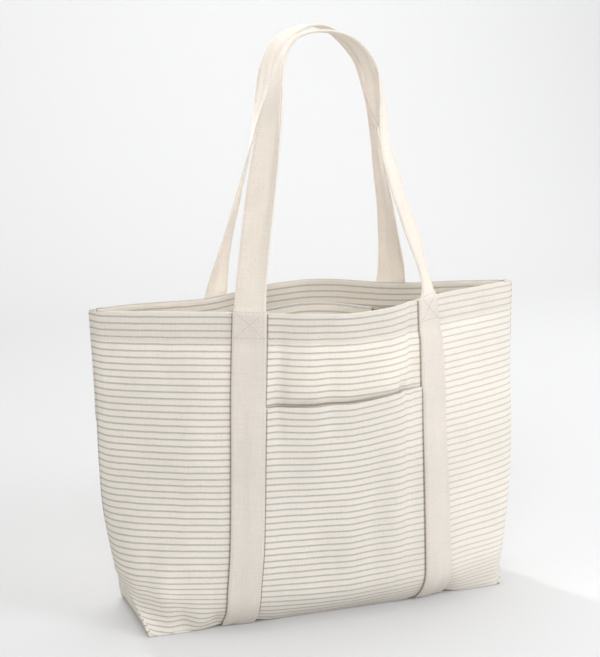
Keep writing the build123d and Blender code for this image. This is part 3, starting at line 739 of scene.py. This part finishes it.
def make_strap(name, skin, loop, twist, crease, crease_at, ripple, over_pocket):
    """One strap from base seam to base seam: rows of its top and under face, outward directions and run.
    Along the free loop it may be creased lengthways and rippled across."""
    count = len(skin["points"])
    under, top, out = [], [], []

    def sewn(k, centre, direction):
        s = centre + direction * strap_across
        p, n = on_skin(skin, k, s)
        inner = direction * (1 if centre < 0 else -1)
        step = 0.0
        if over_pocket and skin["height"][k] < pocket_mouth:
            step = pocket_lay * smooth_step(-0.006, 0.002, strap_across * inner)
        under.append(p + n * (strap_lay + step + strap_under)[:, None])
        top.append(p + n * (strap_lay + step + strap_top)[:, None])
        out.append(n[8])

    front = 1 if skin["side"] < 0 else -1
    for k in range(count - 1, -1, -1):
        sewn(k, skin["left_strap"][k], front)
    first_free = len(under)
    rim_left, _ = on_skin(skin, 0, skin["left_strap"][:1])
    rim_right, _ = on_skin(skin, 0, skin["right_strap"][:1])
    path = np.concatenate([rim_left + [[0, 0, -0.012]], rim_left, np.array(loop), rim_right,
                           rim_right + [[0, 0, -0.012]]])
    dense, run = evenly(path, loop_samples)
    spacing = run[-1] / (loop_samples - 1)
    dense = soften(dense, 0.011 / spacing)
    at = np.arange(loop_samples) * spacing
    knots = np.concatenate([[twist[0]] * 2, twist[1:-1], [twist[-1]] * 2])
    angle = soften(np.interp(at, run, knots)[:, None], 0.014 / spacing)[:, 0]
    bend = np.interp(at, run, np.concatenate([[0, 0], crease, [0, 0]]))
    wave = np.interp(at, run, np.concatenate([[0, 0], ripple, [0, 0]])) * mm
    tangent = unit(np.gradient(dense, axis=0))
    wide = np.stack([np.cos(np.radians(angle)), np.sin(np.radians(angle)), np.zeros(loop_samples)], -1)
    wide = unit(wide - tangent * (wide * tangent).sum(1)[:, None])
    face = unit(np.cross(wide, tangent))
    inside = np.where((at > run[1] + 0.004) & (at < run[-2] - 0.004))[0]
    for i in inside[::6]:
        fold = bend[i] * (np.sqrt((strap_across - crease_at) ** 2 + 4e-6) - 0.013)
        fold = fold + wave[i] * np.sin(strap_across * 2 * np.pi / 0.016 + 30 * at[i] + 2 * np.sin(45 * at[i]))
        p = dense[i] + wide[i] * strap_across[:, None]
        under.append(p + face[i] * (strap_lay - fold + strap_under)[:, None])
        top.append(p + face[i] * (strap_lay - fold + strap_top)[:, None])
        out.append(face[i])
    last_free = len(under)
    for k in range(count):
        sewn(k, skin["right_strap"][k], -front)
    under, top, out = np.array(under), np.array(top), np.array(out)
    run = np.concatenate([[0], np.cumsum(np.linalg.norm(np.diff(top[:, 8], axis=0), axis=1))])

    ring = np.concatenate([top, under[:, ::-1]], 1)
    girth = np.concatenate([strap_across, strap_width - strap_across[::-1]])
    rows, round_count = ring.shape[:2]
    index = np.arange(rows * round_count).reshape(rows, round_count)
    nxt = np.roll(index, -1, 1)
    quads = np.stack([index[:-1], nxt[:-1], nxt[1:], index[1:]], -1).reshape(-1, 4).tolist()
    caps = [index[0, ::-1].tolist(), index[-1].tolist()]
    mesh = bpy.data.meshes.new(name)
    mesh.from_pydata(ring.reshape(-1, 3).tolist(), [], quads + caps)
    layer = mesh.uv_layers.new(name="cloth")
    flat = np.stack(np.broadcast_arrays(girth[None, :], run[:, None]), -1).reshape(-1, 2)
    corner = np.empty(len(mesh.loops), np.int32)
    mesh.loops.foreach_get("vertex_index", corner)
    layer.data.foreach_set("uv", flat[corner].astype(np.float32).ravel())
    mesh.shade_smooth()
    mesh.materials.append(strap_canvas)
    strap = bpy.data.objects.new(name, mesh)
    bpy.context.collection.objects.link(strap)
    return dict(obj=strap, under=under, top=top, out=out, run=run, free=(first_free, last_free))


# Points along each free loop in millimetres, the strap's turn in degrees, and how much it is creased
# lengthways and rippled in millimetres, at each of them
front_loop = np.array([
    (-97.6, -74, 360), (-92.7, -69.5, 384), (-85.2, -62.5, 425), (-76.5, -55.5, 467), (-68.1, -48.5, 507),
    (-61.2, -43.5, 537), (-54.4, -38, 565), (-48.8, -32, 594), (-34.2, -28, 615), (-8.5, -27, 622),
    (17, -27, 619), (37, -29, 606), (47.6, -33, 585), (52.3, -38, 558), (56.1, -42.5, 531),
    (62.6, -47.5, 497), (71.2, -53, 462), (81.1, -58.6, 426), (91, -63, 400), (96.5, -66, 374),
    (102.5, -67, 357)]) * mm
front_twist = (-36, -44, -53, -58, -60, -70, -80, -92, -102, -104, -99, -93, -87, -84, -88, -120, -139,
               -132, -135, -138, -119, -128, -145)
front_crease = (0, -0.2, -0.4, -0.45, -0.45, -0.4, -0.3, -0.1, 0, 0, 0, 0, 0, 0.5, 0.7, 0.2, 0, 0, 0, 0, 0)
front_ripple = (0, 0.1, 0.1, 0.1, 0.1, 0.15, 0.3, 0.4, 0.3, 0.3, 0.5, 0.8, 0.9, 0.8, 0.5, 0.2, 0.2, 0.2,
                0.2, 0.1, 0)
front_strap = make_strap("front_strap_cloth", front_skin, front_loop, front_twist, front_crease, 0.005,
                         front_ripple, True)

back_loop = np.array([
    (-92.8, 46, 355), (-87.2, 42, 387), (-76.5, 36, 432), (-66.1, 30.4, 476), (-57.1, 25, 520),
    (-49.4, 19.4, 560), (-44.6, 16.5, 587), (-33.3, 13, 611), (-16.3, 11, 624), (0.3, 10, 629),
    (19.8, 10, 625), (39, 11.5, 610), (55.9, 14, 589), (67.5, 18, 561), (74, 22, 541), (80.5, 25, 516),
    (91, 31, 469), (101.9, 37, 422), (110, 43, 375), (113, 46.5, 352)]) * mm
back_twist = (-155, -142, -126, -118, -112, -104, -86, -77, -78, -84, -90, -93, -96, -99, -100, -97, -92,
              -83, -75, -62, -50, -42)
back_crease = (0,) * 14 + (0.15, 0.35, 0.35, 0.3, 0.1, 0)
back_ripple = (0.2, 0.3, 0.2, 0.15, 0.2, 0.35, 0.5, 0.4, 0.3, 0.2, 0.2, 0.3, 0.4, 0.5, 0.4, 0.3, 0.25,
               0.25, 0.4, 0.2)
back_strap = make_strap("back_strap_cloth", back_skin, back_loop, back_twist, back_crease, -0.007,
                        back_ripple, False)

for strap, side in ((front_strap, "front"), (back_strap, "back")):
    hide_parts(side + "_left_strap", side + "_right_strap", side + "_handle")
    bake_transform(strap["obj"])


# Stitching. Thick natural cotton thread, about 3 mm to the stitch: the rim hem, the pocket hems and edges,
# both edges of the straps, and a crossed box where each strap leaves the rim.
stitch_pitch = 0.0033
thread_width = 0.0007
thread_lay = 0.0001
inner_thread_lay = 0.0010
pocket_stitch_drop = 0.0125
box_height = 0.0265
thread = canvas("thread", (0.80, 0.735, 0.635), 0.0009, 0.0, twill=True)
# Painted shade: the crossed box stitches use a darker copy of the thread, standing in for the shade in their
# sunken stitch holes
shaded_thread = canvas("shaded_thread", (0.63, 0.57, 0.49), 0.0009, 0.0, twill=True)


def stitch_tree():
    """Node tree that sets small rounded stitches end to end along lines, flat on the cloth."""
    tree = bpy.data.node_groups.new("stitch_rows", "GeometryNodeTree")
    face = tree.interface
    face.new_socket("Lines", in_out="INPUT", socket_type="NodeSocketGeometry")
    for label, kind in (("Pitch", "NodeSocketFloat"), ("Thread width", "NodeSocketFloat"),
                        ("Seed", "NodeSocketInt"), ("Thread", "NodeSocketMaterial")):
        face.new_socket(label, in_out="INPUT", socket_type=kind)
    face.new_socket("Stitches", in_out="OUTPUT", socket_type="NodeSocketGeometry")
    given = node(tree, "NodeGroupInput").outputs
    curve = node(tree, "GeometryNodeMeshToCurve", {0: given["Lines"]})
    spaced = node(tree, "GeometryNodeResampleCurve", {"Curve": curve.outputs[0], "Length": given["Pitch"]},
                  mode="LENGTH")
    bead = node(tree, "GeometryNodeMeshUVSphere", {"Segments": 6, "Rings": 4, "Radius": 0.5})
    long = node(tree, "ShaderNodeMath", {0: given["Pitch"], 1: 0.82}, operation="MULTIPLY")
    wide = given["Thread width"]
    size = node(tree, "ShaderNodeCombineXYZ", {0: long.outputs[0], 1: wide, 2: wide})
    tangent = node(tree, "GeometryNodeInputTangent")
    along = node(tree, "FunctionNodeAlignRotationToVector", {"Vector": tangent.outputs[0]}, axis="X")
    lie = node(tree, "GeometryNodeInputNamedAttribute", {"Name": "lie"}, data_type="FLOAT_VECTOR")
    flat = node(tree, "FunctionNodeAlignRotationToVector", {"Rotation": along.outputs[0],
                "Vector": lie.outputs["Attribute"]}, axis="Z", pivot_axis="X")
    vary = node(tree, "FunctionNodeRandomValue", {"Seed": given["Seed"]}, data_type="FLOAT_VECTOR")
    vary.inputs[0].default_value = (0.86, 0.85, 0.80)
    vary.inputs[1].default_value = (1.05, 1.15, 1.15)
    scale = node(tree, "ShaderNodeVectorMath", {0: size.outputs[0], 1: vary.outputs[0]}, operation="MULTIPLY")
    placed = node(tree, "GeometryNodeInstanceOnPoints", {
        "Points": spaced.outputs[0], "Instance": bead.outputs[0],
        "Rotation": flat.outputs[0], "Scale": scale.outputs[0]})
    real = node(tree, "GeometryNodeRealizeInstances", {0: placed.outputs[0]})
    smooth = node(tree, "GeometryNodeSetShadeSmooth", {0: real.outputs[0]})
    dyed = node(tree, "GeometryNodeSetMaterial", {"Geometry": smooth.outputs[0], "Material": given["Thread"]})
    out = node(tree, "NodeGroupOutput")
    tree.links.new(dyed.outputs[0], out.inputs[0])
    return tree


stitch_rows = stitch_tree()


def sew(name, lines, seed, yarn):
    """Object with stitches along lines, each a pair of points and outward directions."""
    points, lies, edges = [], [], []
    for p, n in lines:
        start = len(points)
        points.extend(p.tolist())
        lies.extend(n.tolist())
        edges.extend((start + k, start + k + 1) for k in range(len(p) - 1))
    mesh = bpy.data.meshes.new(name)
    mesh.from_pydata(points, edges, [])
    mesh.attributes.new("lie", "FLOAT_VECTOR", "POINT").data.foreach_set("vector", np.array(lies).ravel())
    obj = bpy.data.objects.new(name, mesh)
    bpy.context.collection.objects.link(obj)
    rows = obj.modifiers.new("stitches", "NODES")
    rows.node_group = stitch_rows
    sockets = stitch_rows.interface.items_tree
    given = {item.name: item.identifier for item in sockets if item.in_out == "INPUT"}
    rows[given["Pitch"]] = stitch_pitch
    rows[given["Thread width"]] = thread_width
    rows[given["Seed"]] = seed
    rows[given["Thread"]] = yarn
    made = bpy.data.meshes.new_from_object(obj.evaluated_get(bpy.context.evaluated_depsgraph_get()))
    obj.modifiers.remove(rows)
    obj.data = made
    return obj


def row_line(points, out, off):
    return points + out * off, out


bag_lines = []
for skin in (front_skin, back_skin):
    row = int(np.argmin(np.abs(skin["down"].mean(1) - hem_depth + 0.002)))
    at = skin["across"][row]
    left, right = skin["left_strap"][row], skin["right_strap"][row]
    beside = strap_width / 2 + 0.001
    spans = (
        (at[0] + 0.003, left - beside),
        (left + beside, right - beside),
        (right + beside, at[-1] - 0.003))
    for low, high in spans:
        p, n = on_skin(skin, row, np.linspace(low, high, 90))
        bag_lines.append(row_line(p, n, thread_lay))
    p, n = on_skin(skin, row, np.linspace(at[0] + 0.012, at[-1] - 0.012, 200))
    bag_lines.append(row_line(p - n * (2 * hem_fold_radius + canvas_thickness), -n, thread_lay))


def row_below(points, column, drop):
    """Row of a cloth whose point in one column lies nearest to a distance below the top row."""
    return int(np.argmin(np.abs(np.linalg.norm(points[:, column] - points[0, column], axis=1) - drop)))


pocket_row = row_below(pocket_points, pocket_columns // 2, pocket_stitch_drop)
bag_lines.append(row_line(pocket_points[pocket_row, 8:-8], pocket_out[pocket_row, 8:-8], thread_lay))
inner_row = row_below(inner_points, inner_columns // 2, pocket_stitch_drop)
bag_lines.append(row_line(inner_points[inner_row, 2:-2], -inner_out[inner_row, 2:-2], inner_thread_lay))
for column in (2, -3):
    bag_lines.append(row_line(inner_points[:, column], -inner_out[:, column], inner_thread_lay))
bag_lines.append(row_line(inner_points[-2, 2:-2], -inner_out[-2, 2:-2], inner_thread_lay))
bag_stitches = sew("bag_stitches", bag_lines, 3, thread)
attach(bag_stitches, "bag")


def strap_line(strap, run, across, under=False):
    """Line on a strap's face at given distances along and across it."""
    face = strap["under" if under else "top"]
    line = np.empty((len(run), 3))
    for k in range(3):
        columns = np.stack([np.interp(run, strap["run"], column) for column in face[:, :, k].T], 1)
        line[:, k] = [np.interp(a, strap_across, row) for a, row in zip(across, columns)]
    out = np.stack([np.interp(run, strap["run"], strap["out"][:, k]) for k in range(3)], -1)
    out = unit(out)
    return line, -out if under else out


for strap, side, seed in ((front_strap, "front", 5), (back_strap, "back", 7)):
    run, (first, last) = strap["run"], strap["free"]
    edge = strap_width / 2 - stitch_inset
    lines = []
    for q in (-edge, edge):
        r = np.arange(0.004, run[-1] - 0.004, 0.004)
        lines.append(row_line(*strap_line(strap, r, np.full(len(r), q)), thread_lay))
        r = np.arange(run[first] + 0.004, run[last - 1] - 0.004, 0.004)
        lines.append(row_line(*strap_line(strap, r, np.full(len(r), q), True), thread_lay))
    edge_stitches = sew(side + "_strap_stitches", lines, seed, thread)
    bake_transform(edge_stitches)

    lines = []
    for top, down in ((run[first] - 0.003, -1), (run[last - 1] + 0.003, 1)):
        bottom = top + down * box_height
        for (r0, q0), (r1, q1) in (((top, -edge), (top, edge)), ((bottom, -edge), (bottom, edge)),
                                   ((top, -edge), (bottom, edge)), ((top, edge), (bottom, -edge))):
            line = strap_line(strap, np.linspace(r0, r1, 12), np.linspace(q0, q1, 12))
            lines.append(row_line(*line, thread_lay))
    box_stitches = sew(side + "_box_stitches", lines, seed + 20, shaded_thread)
    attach(box_stitches, "bag")
    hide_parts(side + "_left_box_stitch", side + "_right_box_stitch")


# Studio. A pale seamless floor that sweeps up behind the bag, soft lights from the front right, the right
# side, the front and above, a weak one from behind that shines through the cloth, one for the backdrop, and
# an even white surround.
floor_y = np.concatenate([[-4.0, 0.0, 1.6], 1.6 + 1.2 * np.sin(np.linspace(0, np.pi / 2, 13))[1:], [2.8]])
floor_z = np.concatenate([[0.0, 0.0, 0.0], 1.2 * (1 - np.cos(np.linspace(0, np.pi / 2, 13)))[1:], [5.0]])
sweep = np.stack([np.stack([np.full(len(floor_y), x), floor_y, floor_z], -1) for x in (-5.0, 5.0)], 1)
floor = cloth_mesh("floor", sweep, sweep[:, :, :2], -1)
paper = bpy.data.materials.new("floor_paper")
paper.use_nodes = True
paper.node_tree.nodes["Principled BSDF"].inputs["Base Color"].default_value = (0.66, 0.66, 0.66, 1)
paper.node_tree.nodes["Principled BSDF"].inputs["Roughness"].default_value = 0.9
floor.data.materials.append(paper)


def soft_light(name, place, aim, size, power, spread=180, colour=(1, 1, 1)):
    lamp = bpy.data.lights.new(name, "AREA")
    lamp.shape = "DISK"
    lamp.size = size
    lamp.energy = power
    lamp.spread = radians(spread)
    lamp.color = colour
    obj = bpy.data.objects.new(name, lamp)
    obj.location = place
    obj.rotation_euler = (Vector(aim) - Vector(place)).to_track_quat("-Z", "Y").to_euler()
    bpy.context.collection.objects.link(obj)


soft_light("key_light", (1.9, -1.9, 1.3), (0, 0, 0.3), 1.1, 29.5, colour=(0.96, 0.987, 1.045))
soft_light("side_light", (2.6, -0.3, 1.0), (0, 0, 0.3), 1.2, 16)
soft_light("front_light", (-1.1, -2.3, 1.5), (0, 0, 0.3), 1.6, 29)
soft_light("top_light", (-0.5, 0.2, 2.0), (0, 0, 0.3), 1.2, 9)
soft_light("back_light", (-0.35, 1.5, 1.35), (0, 0.03, 0.45), 0.5, 1.1, spread=24)
soft_light("backdrop_light", (1.0, 1.2, 2.4), (0.9, 2.6, 0.6), 2.4, 34)
world = bpy.data.worlds.new("studio")
bpy.context.scene.world = world
world.use_nodes = True
world.node_tree.nodes["Background"].inputs[0].default_value = (1, 1, 1, 1)
world.node_tree.nodes["Background"].inputs[1].default_value = 0.59
bpy.context.scene.view_settings.view_transform = "Standard"

# Camera. A short telephoto at chest height, to the left of the bag's front, looking a little down
camera = bpy.data.objects.new("camera", bpy.data.cameras.new("camera"))
camera.data.sensor_width = 36
camera.data.lens = 77.03
camera.location = (-0.5518, -1.4012, 0.6103)
camera.rotation_euler = (radians(90 - 11.50), 0, radians(-20.92))
bpy.context.collection.objects.link(camera)
bpy.context.scene.camera = camera
